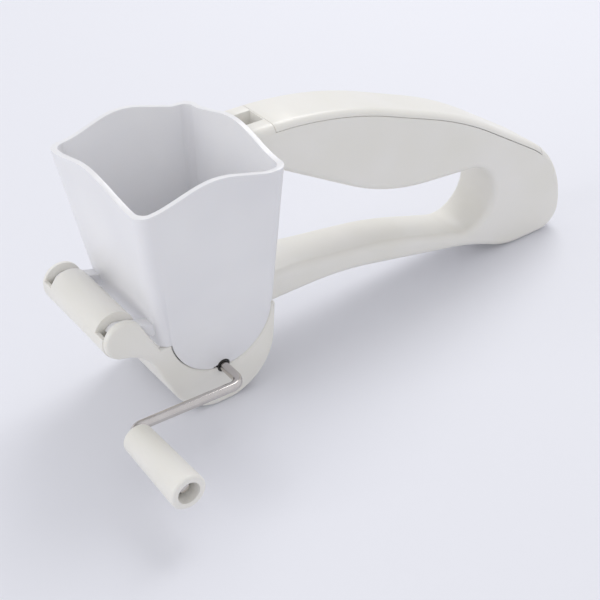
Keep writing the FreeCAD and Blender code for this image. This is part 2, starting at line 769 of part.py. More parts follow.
def buildDisc(label, index):
    """Toothed cutting disc; each is cut with its teeth a little further round than the last."""
    body = newBody(label)
    blank = newSketch(body, label + "Blank", "XZ_Plane")
    addCircle(blank, "0", "0", "disc_radius")
    addKeyedHole(blank, "seat_gap")
    pad(body, blank, "disc_thickness")
    gullet = newSketch(body, label + "Gullet", "XZ_Plane")
    r, depth, step = size("disc_radius"), size("tooth_depth"), 360 / size("tooth_count")
    turn = size("disc_stagger") * index
    shares = [(-1.0, -0.08), (0.3, 0.02), (0.3, 0.78), (-0.35, 0.62), (-0.85, 0.3)]
    addPolygon(gullet, [onCircle(Vector(0, 0, 0), r + depth * out, turn + step * along)
                        for out, along in shares])
    first = pocket(body, gullet, "2 * disc_thickness")
    ring = body.newObject("PartDesign::PolarPattern", label + "Teeth")
    ring.Originals = [first]
    ring.Axis = (originPart(body, "Y_Axis"), [""])
    ring.Angle = 360
    bind(ring, "Occurrences", "tooth_count")
    body.Tip = ring
    place(body, y="%s * (%d - (disc_count - 1) / 2)" % (DISC_PITCH, index),
          height="axle_height", turn="crank_tilt")
    return body


def buildSpacer(label, index):
    """Collar that keeps two discs apart on the flatted rod."""
    body = newBody(label)
    ring = newSketch(body, label + "Ring", "XZ_Plane")
    addCircle(ring, "0", "0", "spacer_radius")
    addKeyedHole(ring, "seat_gap")
    pad(body, ring, SPACER_LENGTH)
    place(body, y="%s * (%d - disc_count / 2)" % (DISC_PITCH, index),
          height="axle_height", turn="crank_tilt")
    return body


# Crank

def buildRod():
    """One bent rod: flatted through the rotor, then the crank arm, then the knob's pin."""
    body = newBody("crank_rod")
    tail = "(body_width / 2 + tail_length)"
    tip = "(%s - knob_bore_depth + moving_gap + retainer_thickness + rod_tip)" % KNOB_END
    radius, reach, bend = size("crank_radius"), size("crank_reach"), size("rod_bend")
    path = newSketch(body, "RodPath", "XY_Plane")
    addCurves(path, softRun([
        (Vector(0, size(tail), 0), 0),
        (Vector(0, -reach, 0), bend),
        (Vector(-radius, -reach, 0), bend),
        (Vector(-radius, -size(tip), 0), 0),
    ]))
    section = newSketch(body, "RodSection", "XZ_Plane", "-" + tail)
    addCircle(section, "0", "0", "rod_radius")
    doc.recompute()
    pipe = body.newObject("PartDesign::AdditivePipe", "RodPipe")
    pipe.Profile = section
    pipe.Spine = (path, ["Edge%d" % (i + 1) for i in range(len(path.Shape.Edges))])
    doc.recompute()
    flats = newSketch(body, "RodFlats", "XZ_Plane")
    addRectangle(flats, "-2 * rod_radius", "2 * rod_radius", "rod_flat", "2 * rod_radius")
    addRectangle(flats, "-2 * rod_radius", "2 * rod_radius", "-2 * rod_radius", "-rod_flat")
    pocket(body, flats, "2 * " + STACK_HALF)
    place(body, height="axle_height", turn="crank_tilt")
    return body


def placeOnPin(body):
    place(body, x="-crank_radius * cos(crank_tilt)", height="axle_height + crank_radius * sin(crank_tilt)")


def buildKnob():
    """Turned handle that spins on the pin, bored wide at its outer end for the retainer."""
    body = newBody("crank_knob")
    profile = newSketch(body, "KnobProfile", "XY_Plane")
    start, end = size(KNOB_START), size(KNOB_END)
    floor = end - size("knob_bore_depth")
    bore, wide = size("rod_radius + running_gap"), size("knob_bore_radius")
    inner, outer = size("knob_inner_radius"), size("knob_outer_radius")
    bend = size("knob_round")
    addCurves(profile, softRun([
        (Vector(bore, -floor, 0), 0),
        (Vector(bore, -start, 0), 0),
        (Vector(inner, -start, 0), bend),
        (Vector(outer, -end, 0), bend),
        (Vector(wide, -end, 0), 0),
        (Vector(wide, -floor, 0), 0),
        (Vector(bore, -floor, 0), 0),
    ]))
    turned = body.newObject("PartDesign::Revolution", "KnobTurned")
    turned.Profile = profile
    turned.ReferenceAxis = (profile, ["V_Axis"])
    turned.Angle = 360
    doc.recompute()
    placeOnPin(body)
    return body


def buildRetainer():
    """Push-on ring on the pin's end, inside the knob's wide bore."""
    body = newBody("knob_retainer")
    ring = newSketch(body, "RetainerRing", "XZ_Plane", "%s - knob_bore_depth + moving_gap" % KNOB_END)
    addCircle(ring, "0", "0", "retainer_radius")
    addCircle(ring, "0", "0", "rod_radius + seat_gap")
    pad(body, ring, "retainer_thickness", midplane=False)
    placeOnPin(body)
    return body


def buildClip():
    """Ring clip that keeps the rod from being drawn out of the far side."""
    body = newBody("shaft_clip")
    ring = newSketch(body, "ClipRing", "XZ_Plane", "-body_width / 2 - moving_gap")
    addCircle(ring, "0", "0", "clip_radius")
    addCircle(ring, "0", "0", "rod_radius + seat_gap")
    pad(body, ring, "clip_thickness", midplane=False, reversed=True)
    place(body, height="axle_height", turn="crank_tilt")
    return body


# Grip

def topRun():
    """Corners and bends of the grip's outer line, from the hopper over the back to the heel."""
    top = size("arm_top")
    front = wallX(False, top) + size("moving_gap")
    return [
        (Vector(front, top, 0), 0),
        (Vector(size("crest_x"), top - size("crest_fall"), 0), size("crest_bend")),
        (Vector(size("back_x"), top - size("back_fall"), 0), size("back_bend")),
        (Vector(size("tail_x"), size("tail_height"), 0), size("tail_bend")),
        (Vector(size("tail_x"), 0, 0), size("heel_bend")),
        (Vector(size("sole_front"), 0, 0), size("sole_bend")),
    ]


def gripCurves():
    """Side view in three parts: the outer line, the finger gap's line and the two front faces."""
    loop = Vector(size("loop_x"), size("loop_height"), 0)
    r = size("loop_radius")
    gap = size("moving_gap")
    under = Vector(size("arm_under_x"), size("arm_under_height"), 0)
    dip = Vector(size("bar_dip_x"), size("bar_dip_height"), 0)
    touchHigh = tangentPoint(under, loop, r, -1)
    touchLow = tangentPoint(dip, loop, r, 1)
    armLow = size("arm_top - arm_front_thickness")
    armCorner = Vector(wallX(False, armLow) + gap, armLow, 0)
    barLow = size("bar_bottom")
    barHigh = size("bar_bottom + bar_front_thickness")
    rearTop, rearTouch = rearFace()
    lean = (rearTop.x - rearTouch.x) / (rearTop.y - rearTouch.y)
    lowCorner = Vector(rearTop.x + lean * (barLow - rearTop.y) + 2 * gap, barLow, 0)
    highCorner = Vector(rearTop.x + lean * (barHigh - rearTop.y) + 2 * gap, barHigh, 0)
    outer = topRun() + [
        (Vector(size("belly_x"), size("belly_height"), 0), size("belly_bend")),
        (Vector(size("bar_x"), barLow, 0), size("bar_bend")),
        (lowCorner, 0),
    ]
    barTop = [(highCorner, 0), (Vector(size("bar_top_x"), barHigh, 0), size("bar_top_bend")),
              (dip, size("bar_dip_bend")), (touchLow, 0)]
    armUnder = [(touchHigh, 0), (under, size("arm_under_bend")), (armCorner, 0)]
    inner = softRun(barTop) + [Part.Arc(touchLow, onCircle(loop, r, 0), touchHigh)] + softRun(armUnder)
    fronts = [Part.LineSegment(armCorner, outer[0][0]), Part.LineSegment(lowCorner, highCorner)]
    return softRun(outer), inner, fronts


def follows(edge, curves, side):
    """True for an edge on a side face, at a distance from the mid-plane, that one of the curves drew."""
    point = middle(edge)
    flat = Vector(point.x, point.z, 0)
    if abs(abs(point.y) - side) > 1e-4:
        return False
    return any(flat.distanceToPoint(middle(curve)) < 1e-3 for curve in curves)


def roundedGrip(body, name):
    """The side view made solid, with its long edges rounded and its two front faces left flat."""
    outer, inner, fronts = gripCurves()
    sketch = newSketch(body, name, "XZ_Plane")
    addCurves(sketch, outer + inner + fronts)
    pad(body, sketch, "grip_width")
    side = size("grip_width / 2")
    thinnest = Part.Compound([curve.toShape() for curve in outer]).distToShape(
        Part.Compound([curve.toShape() for curve in inner]))[0]
    radius = "min(grip_round; %.4f)" % (thinnest * 0.47)
    roundEdges(body, name + "OuterRounds", radius, lambda edge: follows(edge, outer, side))
    roundEdges(body, name + "GapRounds", radius, lambda edge: follows(edge, inner, side))


def coverLine(drop, left, right):
    """The grip's outer line lowered by a drop, between two values of X."""
    return cutRun(softRun(offsetRun(topRun()[:5], drop)), left, right)


def buildGrip():
    """Lower grip moulding: a tub under the cover, the finger gap, the fork and the spigot socket."""
    body = newBody("handle_body")
    roundedGrip(body, "GripSide")

    left, right = size("cover_front - parting_gap"), size("cover_rear + parting_gap")
    seat = newSketch(body, "CoverSeat", "XZ_Plane")
    line = coverLine(size(COVER_SEAT), left, right)
    start, end = runEnds(line)
    above = size("arm_top + grip_width")
    addCurves(seat, line + [
        Part.LineSegment(end, Vector(right, above, 0)),
        Part.LineSegment(Vector(right, above, 0), Vector(left, above, 0)),
        Part.LineSegment(Vector(left, above, 0), start),
    ])
    pocket(body, seat, "2 * grip_width")

    cavity = newSketch(body, "Cavity", "XZ_Plane")
    addCurves(cavity, cavityCurves())
    pocket(body, cavity, CAVITY_WIDTH)

    fork = newSketch(body, "Fork", "XZ_Plane")
    addRectangle(fork, "rim_rear - tongue_length", "rim_rear + tongue_length + moving_gap",
                 "tongue_height - tongue_thickness - moving_gap", "arm_top + grip_width")
    pocket(body, fork, "tongue_width + 2 * moving_gap")

    socket = newSketch(body, "Socket", "XZ_Plane")
    addRectangle(socket, "%s - grip_wall" % REAR_WALL, "%s + spigot_length + moving_gap" % REAR_WALL,
                 "%s - spigot_thickness / 2 - sliding_gap" % SPIGOT_HEIGHT,
                 "%s + spigot_thickness / 2 + sliding_gap" % SPIGOT_HEIGHT)
    pocket(body, socket, "spigot_width + 2 * sliding_gap")
    return body


def cavityCurves():
    """Hollow of the arm: it follows the outer line above and the arm's underside below."""
    shell = size("grip_wall")
    left, right = size("cover_front + grip_wall"), size("cover_rear - grip_wall")
    line = coverLine(size(COVER_SEAT) - shell / 4, left, right)
    start, end = runEnds(line)
    loop = Vector(size("loop_x"), size("loop_height"), 0)
    rim = size("loop_radius") + shell
    under = Vector(size("arm_under_x"), size("arm_under_height"), 0)
    armLow = size("arm_top - arm_front_thickness")
    front = Vector(wallX(False, armLow), armLow, 0)
    along = (front - under).normalize()
    lift = Vector(along.y, -along.x, 0) * shell
    nearPoint = under + lift
    farPoint = front + lift
    share = (left - nearPoint.x) / (farPoint.x - nearPoint.x)
    corner = nearPoint + (farPoint - nearPoint) * share
    touch = tangentPoint(nearPoint, loop, rim, -1)
    heel = onCircle(loop, rim, 20)
    low = Vector(right, heel.y, 0)
    return line + [
        Part.LineSegment(end, low),
        Part.LineSegment(low, heel),
        Part.Arc(heel, onCircle(loop, rim, 60), touch),
        Part.LineSegment(touch, nearPoint),
        Part.LineSegment(nearPoint, corner),
        Part.LineSegment(corner, start),
    ]


def buildCover():
    """Thin upper moulding that closes the grip's tub, with a lip that locates it inside."""
    body = newBody("handle_cover")
    roundedGrip(body, "CoverSide")
    left, right = size("cover_front"), size("cover_rear")
    above, below = size("arm_top + grip_width"), -size("grip_width")
    farLeft, farRight = -size("grip_width"), size("tail_x + grip_width")
    line = coverLine(size("cover_thickness"), left, right)
    start, end = runEnds(line)
    rest = newSketch(body, "CoverRest", "XZ_Plane")
    corners = [end, Vector(right, above, 0), Vector(farRight, above, 0), Vector(farRight, below, 0),
               Vector(farLeft, below, 0), Vector(farLeft, above, 0), Vector(left, above, 0), start]
    addCurves(rest, line + [Part.LineSegment(a, b) for a, b in zip(corners, corners[1:])])
    pocket(body, rest, "2 * grip_width")

    shell = size("grip_wall + lip_gap")
    lip = newSketch(body, "CoverLip", "XZ_Plane")
    addCurves(lip, coverBand(size("cover_thickness / 2"), size("cover_thickness + lip_depth"), shell))
    pad(body, lip, "%s - 2 * lip_gap" % CAVITY_WIDTH)
    inside = newSketch(body, "LipInside", "XZ_Plane")
    below = size("cover_thickness + 2 * lip_depth")
    addCurves(inside, coverBand(size("cover_thickness"), below, 2 * shell))
    pocket(body, inside, "%s - 2 * grip_wall" % CAVITY_WIDTH)
    return body


def coverBand(high, low, inset):
    """Band under the cover between two drops, drawn in from both of the cover's ends."""
    left, right = size("cover_front") + inset, size("cover_rear") - inset
    upper, lower = coverLine(high, left, right), coverLine(low, left, right)
    upperStart, upperEnd = runEnds(upper)
    lowerStart, lowerEnd = runEnds(lower)
    return upper + lower + [Part.LineSegment(upperStart, lowerStart), Part.LineSegment(upperEnd, lowerEnd)]


# All pieces

pieces = [buildCradle(), buildHopper(), buildBush("bush_near", 1), buildBush("bush_far", -1),
          buildComb("front_comb", -1), buildComb("rear_comb", 1)]
discCount = int(size("disc_count"))
pieces += [buildDisc("cutter_disc_%d" % (i + 1), i) for i in range(discCount)]
pieces += [buildSpacer("disc_spacer_%d" % (i + 1), i) for i in range(discCount + 1)]
pieces += [buildRod(), buildKnob(), buildRetainer(), buildClip(), buildGrip(), buildCover()]
doc.recompute()

# Checks before anything is written

for item in doc.Objects:
    if "Invalid" in item.State or "Error" in item.State:
        raise RuntimeError("%s did not build: %s" % (item.Name, item.State))
for piece in pieces:
    if piece.Shape.isNull() or not piece.Shape.isValid() or len(piece.Shape.Solids) != 1:
        raise RuntimeError("%s is not one valid solid" % piece.Label)

os.makedirs("parts", exist_ok=True)
for piece in pieces:
    piece.Shape.exportStep("parts/%s.step" % piece.Label)
    print("%-16s %10.1f mm3" % (piece.Label, piece.Shape.Volume))
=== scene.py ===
import bmesh
import bpy
import math
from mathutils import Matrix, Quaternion, Vector


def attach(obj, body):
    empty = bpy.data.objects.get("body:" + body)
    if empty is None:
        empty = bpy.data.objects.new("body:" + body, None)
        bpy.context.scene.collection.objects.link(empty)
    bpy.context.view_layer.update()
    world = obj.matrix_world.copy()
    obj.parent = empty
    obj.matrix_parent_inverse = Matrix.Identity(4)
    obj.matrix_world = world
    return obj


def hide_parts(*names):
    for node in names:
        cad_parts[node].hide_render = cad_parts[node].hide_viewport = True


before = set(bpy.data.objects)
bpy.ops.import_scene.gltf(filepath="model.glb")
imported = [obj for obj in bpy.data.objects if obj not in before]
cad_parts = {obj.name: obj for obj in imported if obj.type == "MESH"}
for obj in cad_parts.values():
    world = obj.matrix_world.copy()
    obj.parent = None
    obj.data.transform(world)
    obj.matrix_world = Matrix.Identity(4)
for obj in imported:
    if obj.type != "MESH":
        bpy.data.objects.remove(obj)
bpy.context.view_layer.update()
print("frame loaded:", len(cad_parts), "nodes")


# camera, at the height and side from which the mill is seen
cameraLook = {
    "place": (-0.1969, -0.3615, 0.3264),
    "aim": (0.0452, -0.0155, 0.0243),
    "lens": 74.7,
    "roll": -1.5,       # degrees
}


def standCamera(look):
    data = bpy.data.cameras.new("studioCamera")
    data.lens = look["lens"]
    data.sensor_width = 36
    data.clip_start = 0.02
    data.clip_end = 20
    camera = bpy.data.objects.new("studioCamera", data)
    bpy.context.scene.collection.objects.link(camera)
    camera.location = look["place"]
    towards = Vector(look["aim"]) - Vector(look["place"])
    turn = towards.to_track_quat("-Z", "Y")
    camera.rotation_mode = "QUATERNION"
    camera.rotation_quaternion = turn @ Quaternion((0, 0, 1), math.radians(look["roll"]))
    bpy.context.scene.camera = camera


standCamera(cameraLook)
print("camera stands")


# colours and nodes

def toLinear(hexText):
    values = []
    for i in (0, 2, 4):
        v = int(hexText[i:i + 2], 16) / 255
        values.append(v / 12.92 if v <= 0.04045 else ((v + 0.055) / 1.055) ** 2.4)
    return (*values, 1.0)


def perMm(mm):
    return 1000 / mm    # texture scale of a feature of that size, on coordinates in metres


def addNode(tree, kind, settings=None):
    # a setting is a property, the value of an input, or another node's socket to link to an input
    node = tree.nodes.new(kind)
    for name, value in (settings or {}).items():
        if isinstance(value, bpy.types.NodeSocket):
            tree.links.new(value, node.inputs[name])
        elif isinstance(name, int) or name in node.inputs:
            node.inputs[name].default_value = value
        else:
            setattr(node, name, value)
    return node


def newMaterial(name):
    material = bpy.data.materials.new(name)
    material.use_nodes = True
    tree = material.node_tree
    tree.nodes.clear()
    return material, tree


# ABS, injection moulded: an even satin gloss over a very fine spark-eroded grain, slightly translucent at
# thin edges, with faint flow clouds and the shallow waves that thick walls leave as they cool; sizes in mm,
# with the grain drawn coarser than a real one, so that it shows
ivoryAbs = {
    "base": "EFEDE8",
    "cloud": "EBE9E1",
    "cloudSize": 30,
    "roughness": (0.30, 0.36),
    "rubbedSize": 9,
    "grain": 0.35,
    "wave": 18,
}
coolWhiteAbs = {
    "base": "EEEEF0",
    "cloud": "E9E9EC",
    "cloudSize": 30,
    "roughness": (0.285, 0.33),
    "rubbedSize": 9,
    "grain": 0.35,
    "wave": 22,
}


def mouldedAbs(name, look):
    material, tree = newMaterial(name)
    place = addNode(tree, "ShaderNodeTexCoord").outputs["Object"]
    clouds = addNode(tree, "ShaderNodeTexNoise", {
        "Vector": place, "Scale": perMm(look["cloudSize"]), "Detail": 1.5})
    cloudShare = addNode(tree, "ShaderNodeMapRange", {
        "Value": clouds.outputs["Fac"], "From Min": 0.3, "From Max": 0.7, "To Max": 1.0})
    colour = addNode(tree, "ShaderNodeMix", {
        "data_type": "RGBA", 0: cloudShare.outputs["Result"],
        6: toLinear(look["base"]), 7: toLinear(look["cloud"])})
    rubbed = addNode(tree, "ShaderNodeTexNoise", {
        "Vector": place, "Scale": perMm(look["rubbedSize"]), "Detail": 2.0})
    low, high = look["roughness"]
    gloss = addNode(tree, "ShaderNodeMapRange", {
        "Value": rubbed.outputs["Fac"], "From Min": 0.3, "From Max": 0.7, "To Min": low, "To Max": high})
    sink = addNode(tree, "ShaderNodeTexNoise", {
        "Vector": place, "Scale": perMm(look["wave"]), "Detail": 0.0})
    waves = addNode(tree, "ShaderNodeBump", {
        "Height": sink.outputs["Fac"], "Strength": 0.2, "Distance": 0.0004})
    grain = addNode(tree, "ShaderNodeTexNoise", {
        "Vector": place, "Scale": perMm(look["grain"]), "Detail": 1.0})
    fine = addNode(tree, "ShaderNodeBump", {
        "Height": grain.outputs["Fac"], "Normal": waves.outputs["Normal"],
        "Strength": 0.3, "Distance": 0.000012})
    shader = addNode(tree, "ShaderNodeBsdfPrincipled", {
        "Base Color": colour.outputs[2], "Roughness": gloss.outputs["Result"],
        "Normal": fine.outputs["Normal"], "IOR": 1.54,
        "Subsurface Weight": 0.12, "Subsurface Scale": 0.0012, "Subsurface Radius": (1.0, 0.92, 0.8)})
    addNode(tree, "ShaderNodeOutputMaterial", {"Surface": shader.outputs["BSDF"]})
    return material


# acetal, machined from bar: waxy and matt, with a slight mottle and fine tool marks; sizes in mm
milkyAcetal = {"base": "E6E4DC", "shade": "D8D5CA", "mottle": 3, "tooling": 0.3}
# the near-black acetal of the bushes is painted shade: its dark colour stands in for the shaded gap round
# the rod where the rod enters the body
paintedShadeBlackAcetal = {"base": "2A2725", "shade": "211E1C", "mottle": 3, "tooling": 0.3}


def waxyAcetal(name, look):
    material, tree = newMaterial(name)
    place = addNode(tree, "ShaderNodeTexCoord").outputs["Object"]
    mottle = addNode(tree, "ShaderNodeTexNoise", {
        "Vector": place, "Scale": perMm(look["mottle"]), "Detail": 4.0})
    colour = addNode(tree, "ShaderNodeMix", {
        "data_type": "RGBA", 0: mottle.outputs["Fac"],
        6: toLinear(look["base"]), 7: toLinear(look["shade"])})
    tooling = addNode(tree, "ShaderNodeTexNoise", {
        "Vector": place, "Scale": perMm(look["tooling"]), "Detail": 2.0})
    bump = addNode(tree, "ShaderNodeBump", {
        "Height": tooling.outputs["Fac"], "Strength": 0.3, "Distance": 0.00003})
    shader = addNode(tree, "ShaderNodeBsdfPrincipled", {
        "Base Color": colour.outputs[2], "Normal": bump.outputs["Normal"],
        "IOR": 1.48, "Roughness": 0.46, "Subsurface Weight": 0.2, "Subsurface Scale": 0.001})
    addNode(tree, "ShaderNodeOutputMaterial", {"Surface": shader.outputs["BSDF"]})
    return material


# stainless rod, drawn and polished: bright, with fine scratches and a slightly uneven gloss where hands
# rub it; sizes in mm, and stretch draws the scratches out along X and Y, as the rod's runs lie
drawnRod = {
    "base": "D3CFCB",
    "worn": "C3BDB8",
    "handled": 5,
    "roughness": (0.10, 0.18),
    "scratch": 0.5,
    "stretch": (0.12, 0.12, 1.0),
}


def polishedRod(name, look):
    material, tree = newMaterial(name)
    place = addNode(tree, "ShaderNodeTexCoord").outputs["Object"]
    handled = addNode(tree, "ShaderNodeTexNoise", {
        "Vector": place, "Scale": perMm(look["handled"]), "Detail": 4.0, "Roughness": 0.6})
    colour = addNode(tree, "ShaderNodeMix", {
        "data_type": "RGBA", 0: handled.outputs["Fac"],
        6: toLinear(look["base"]), 7: toLinear(look["worn"])})
    low, high = look["roughness"]
    gloss = addNode(tree, "ShaderNodeMapRange", {
        "Value": handled.outputs["Fac"], "From Min": 0.3, "From Max": 0.7, "To Min": low, "To Max": high})
    stretch = addNode(tree, "ShaderNodeMapping", {"Vector": place, "Scale": look["stretch"]})
    scratches = addNode(tree, "ShaderNodeTexNoise", {
        "Vector": stretch.outputs["Vector"], "Scale": perMm(look["scratch"]), "Detail": 3.0})
    bump = addNode(tree, "ShaderNodeBump", {
        "Height": scratches.outputs["Fac"], "Strength": 0.12, "Distance": 0.00002})
    shader = addNode(tree, "ShaderNodeBsdfPrincipled", {
        "Base Color": colour.outputs[2], "Roughness": gloss.outputs["Result"],
        "Normal": bump.outputs["Normal"], "Metallic": 1.0})
    addNode(tree, "ShaderNodeOutputMaterial", {"Surface": shader.outputs["BSDF"]})
    return material


# stainless sheet, stamped and ground: grinding rings round the axle on the discs, straight lines on the
# combs; sizes in mm, with the lines drawn coarser than real grinding, so that they show
groundSheet = {"base": "B9B8B6", "dull": "8F8E8C", "stain": 4, "lines": 3.77, "roughness": (0.29, 0.42)}
wavePhase = 20              # radians that a Wave Texture of scale 1 turns through in one unit
axleHeight = 0.018          # metres above the table


def groundSteel(name, look, pattern):
    material, tree = newMaterial(name)
    place = addNode(tree, "ShaderNodeTexCoord").outputs["Object"]
    centred = addNode(tree, "ShaderNodeMapping", {"Vector": place, "Location": (0, 0, -axleHeight)})
    ground = addNode(tree, "ShaderNodeTexWave", {
        "Vector": centred.outputs["Vector"], "wave_type": pattern,
        "rings_direction": "Y", "bands_direction": "X",
        "Scale": math.tau * perMm(look["lines"]) / wavePhase,
        "Distortion": 2.0, "Detail": 3.0, "Detail Scale": 4.0})
    stain = addNode(tree, "ShaderNodeTexNoise", {
        "Vector": place, "Scale": perMm(look["stain"]), "Detail": 4.0})
    colour = addNode(tree, "ShaderNodeMix", {
        "data_type": "RGBA", 0: stain.outputs["Fac"],
        6: toLinear(look["base"]), 7: toLinear(look["dull"])})
    low, high = look["roughness"]
    gloss = addNode(tree, "ShaderNodeMapRange", {
        "Value": ground.outputs["Fac"], "To Min": low, "To Max": high})
    bump = addNode(tree, "ShaderNodeBump", {
        "Height": ground.outputs["Fac"], "Strength": 0.3, "Distance": 0.00003})
    shader = addNode(tree, "ShaderNodeBsdfPrincipled", {
        "Base Color": colour.outputs[2], "Roughness": gloss.outputs["Result"],
        "Normal": bump.outputs["Normal"], "Metallic": 1.0})
    addNode(tree, "ShaderNodeOutputMaterial", {"Surface": shader.outputs["BSDF"]})
    return material


ivory = mouldedAbs("ivoryMouldedAbs", ivoryAbs)
coolWhite = mouldedAbs("coolWhiteMouldedAbs", coolWhiteAbs)
acetal = waxyAcetal("naturalAcetal", milkyAcetal)
paintedShadeBushAcetal = waxyAcetal("paintedShadeBlackAcetal", paintedShadeBlackAcetal)
rodSteel = polishedRod("polishedStainlessRod", drawnRod)
discSteel = groundSteel("ringGroundStainless", groundSheet, "RINGS")
combSteel = groundSteel("straightGroundStainless", groundSheet, "BANDS")
print("materials mixed")


# pieces that take their shape from the fixed model, with their mould radii added

def mergedCopy(node, name):
    # flat areas are joined, so that the mould radius runs along real corners only
    mesh = bpy.data.meshes.new(name)
    shape = bmesh.new()
    shape.from_mesh(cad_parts[node].data)
    bmesh.ops.remove_doubles(shape, verts=shape.verts, dist=1e-6)
    bmesh.ops.dissolve_limit(shape, angle_limit=math.radians(0.4), verts=shape.verts, edges=shape.edges)
    shape.to_mesh(mesh)
    shape.free()
    for layer in list(mesh.attributes):
        if layer.name == "custom_normal":
            mesh.attributes.remove(layer)
    mesh.materials.clear()
    piece = bpy.data.objects.new(name, mesh)
    bpy.context.scene.collection.objects.link(piece)
    return piece


def bakeModifiers(piece):
    bpy.context.view_layer.update()
    done = bpy.data.meshes.new_from_object(piece.evaluated_get(bpy.context.evaluated_depsgraph_get()))
    done.name = piece.name
    piece.modifiers.clear()
    piece.data = done


cornerAngle = math.radians(34)      # edges sharper than this are corners
seatReach = 0.0045                  # metres from the axle to just past the seats of its bearings


def softCorners(piece, width):
    bevel = piece.modifiers.new("mouldRadius", "BEVEL")
    bevel.width = width / 1000
    bevel.segments = 2
    bevel.limit_method = "ANGLE"
    bevel.angle_limit = cornerAngle
    bevel.use_clamp_overlap = True
    bakeModifiers(piece)


def roundRims(piece, width):
    # rounds the rims of a piece's two side faces, apart from the seats of the axle's bearings
    shape = bmesh.new()
    shape.from_mesh(piece.data)
    side = max(v.co.y for v in shape.verts)
    rims = []
    for edge in shape.edges:
        atSide = all(abs(v.co.y) > side - 1e-5 for v in edge.verts)
        atSeat = any(math.hypot(v.co.x, v.co.z - axleHeight) < seatReach for v in edge.verts)
        if atSide and not atSeat and edge.calc_face_angle(0) > cornerAngle:
            rims.append(edge)
    bmesh.ops.bevel(shape, geom=rims, offset=width / 1000, offset_type="OFFSET", segments=3, profile=0.5,
                    affect="EDGES", clamp_overlap=False)
    shape.to_mesh(piece.data)
    shape.free()


def smoothFaces(piece):
    piece.data.polygons.foreach_set("use_smooth", [True] * len(piece.data.polygons))
    piece.data.set_sharp_from_angle(angle=cornerAngle)


def dress(name, look):
    piece = mergedCopy(look["node"], name)
    if "rim" in look:
        roundRims(piece, look["rim"])
    if "edge" in look:
        softCorners(piece, look["edge"])
    smoothFaces(piece)
    finish, slot = look["finish"]
    piece.data.materials.append(finish)
    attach(piece, look["body"])
    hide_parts(look["node"])
    print("dressed", name, len(piece.data.polygons), "faces")


# each material with a slot name beside it; dress unpacks the slot name but does not use it
ivoryFinish = (ivory, "cream_plastic")
whiteFinish = (coolWhite, "white_plastic")
# the bushes' near-black finish is painted shade, standing in for the shaded gap round the rod at its root
paintedShadeBearingFinish = (paintedShadeBushAcetal, "bearing_plastic")
rodFinish = (rodSteel, "polished_steel")
plateFinish = (combSteel, "brushed_steel")

# edge is the radius left by the mould or the tumbling, and rim that of a piece's side faces, in mm
dressings = {
    "troughMoulding": {"node": "cradle", "body": "body", "finish": ivoryFinish, "edge": 0.3, "rim": 1.2},
    "hopperMoulding": {"node": "hopper", "body": "hopper", "finish": whiteFinish, "edge": 0.5},
    "gripTub": {"node": "handle_body", "body": "handle", "finish": ivoryFinish, "edge": 0.15},
    "gripCap": {"node": "handle_cover", "body": "handle", "finish": ivoryFinish, "edge": 0.15},
    "turnedKnob": {"node": "crank_knob", "body": "knob", "finish": ivoryFinish, "edge": 0.3},
    "bentRod": {"node": "crank_rod", "body": "crank", "finish": rodFinish},
    "nearBush": {"node": "bush_near", "body": "body", "finish": paintedShadeBearingFinish, "edge": 0.12},
    "farBush": {"node": "bush_far", "body": "body", "finish": paintedShadeBearingFinish, "edge": 0.12},
    "frontCombPlate": {"node": "front_comb", "body": "body", "finish": plateFinish, "edge": 0.08},
    "rearCombPlate": {"node": "rear_comb", "body": "body", "finish": plateFinish, "edge": 0.08},
    "rodClip": {"node": "shaft_clip", "body": "crank", "finish": plateFinish, "edge": 0.1},
    "pinRing": {"node": "knob_retainer", "body": "crank", "finish": plateFinish, "edge": 0.1},
}

for name, look in dressings.items():
    dress(name, look)


# rotor: a row of toothed discs with collars between them, both by rule

discRow = {
    "Radius": 0.015,
    "Tooth Depth": 0.0034,
    "Teeth": 10,
    "Thickness": 0.001,
    "Bore": 0.00206,
    "Count": 7,
    "Pitch": 0.005625,
    "First Turn": math.radians(2.7),
    "Stagger": math.radians(12),
    "Axle Height": axleHeight,
}
collarRow = {
    "Radius": 0.006,
    "Bore": 0.00206,
    "Length": 0.004625,
    "Edge": 0.00025,
    "Count": 8,
    "Pitch": 0.005625,
    "First Turn": 0.0,
    "Stagger": 0.0,
    "Axle Height": axleHeight,
}
boreSides = 24
collarSides = 48
# one tooth, as shares of the tooth pitch along the rim and of the tooth depth outwards
toothOutline = [(-0.003, 0.0), (-0.08, -1.0), (0.3, -0.85), (0.62, -0.35), (0.706, 0.0), (0.85, 0.0)]


def startTree(name, sizes):
    tree = bpy.data.node_groups.new(name, "GeometryNodeTree")
    tree.interface.new_socket("Geometry", in_out="INPUT", socket_type="NodeSocketGeometry")
    for label, value in sizes.items():
        kind = "NodeSocketInt" if isinstance(value, int) else "NodeSocketFloat"
        tree.interface.new_socket(label, in_out="INPUT", socket_type=kind)
    tree.interface.new_socket("Finish", in_out="INPUT", socket_type="NodeSocketMaterial")
    tree.interface.new_socket("Geometry", in_out="OUTPUT", socket_type="NodeSocketGeometry")
    return tree, addNode(tree, "NodeGroupInput").outputs


